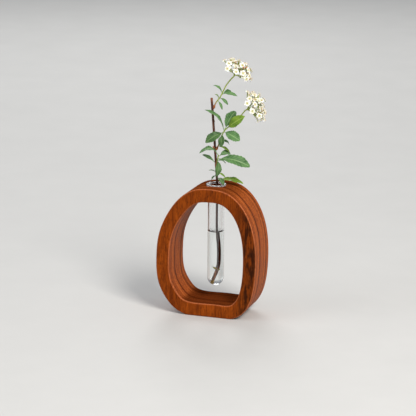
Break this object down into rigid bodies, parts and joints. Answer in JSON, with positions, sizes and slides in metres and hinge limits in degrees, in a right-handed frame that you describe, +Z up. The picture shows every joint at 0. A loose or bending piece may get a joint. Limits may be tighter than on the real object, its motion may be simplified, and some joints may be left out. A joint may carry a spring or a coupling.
{
  "type": "test tube vase",
  "caption": "Egg-shaped wooden ring on a flat foot that hangs a round-bottomed glass test tube by its lip to hold water and a cut flowering sprig.",
  "frame": {"origin": "on the table under the ring, midway across the ring's width and depth", "axes": "+Z up along the tube, +X to the right across the ring's width, -Y out of the ring's front face"},
  "size_m": [0.075, 0.036, 0.1848],
  "materials": {
    "ring_wood": "oiled satin, reddish brown",
    "tube_glass": "clear, polished",
    "stem_bark": "matt bark",
    "green_shoot": "soft green skin",
    "leaf": "satin leaf",
    "petal": "matt petal"
  },
  "bodies": {
    "ring": {"wooden_ring": "ring_wood"},
    "tube": {"test_tube": "tube_glass"},
    "sprig": {"woody_stem": "stem_bark", "lower_shoot": "green_shoot", "side_shoot": "green_shoot", "upper_shoot": "green_shoot", "upper_flower_stalks": "green_shoot", "side_flower_stalks": "green_shoot", "upper_florets": "petal", "side_florets": "petal", "upper_leaf_1": "leaf", "upper_leaf_2": "leaf", "upper_leaf_3": "leaf", "upper_leaf_4": "leaf", "upper_leaf_5": "leaf", "upper_leaf_6": "leaf", "middle_leaf_1": "leaf", "middle_leaf_2": "leaf", "middle_leaf_3": "leaf", "middle_leaf_4": "leaf", "middle_leaf_5": "leaf", "middle_leaf_6": "leaf", "middle_leaf_7": "leaf", "middle_leaf_8": "leaf", "lower_leaf_1": "leaf", "lower_leaf_2": "leaf", "lower_leaf_3": "leaf", "lower_leaf_4": "leaf", "lower_leaf_5": "leaf", "lower_leaf_6": "leaf", "lower_leaf_7": "leaf", "lower_leaf_8": "leaf", "lower_leaf_9": "leaf", "lower_leaf_10": "leaf", "lower_leaf_11": "leaf", "lower_leaf_12": "leaf"}
  },
  "joints": [
    {"name": "tube_lift", "type": "slide", "parent": "ring", "child": "tube", "axis": [0, 0, 1], "range_m": [0, 0.08]},
    {"name": "sprig_lift", "type": "slide", "parent": "tube", "child": "sprig", "axis": [0, 0, 1], "range_m": [0, 0.08]}
  ]
}
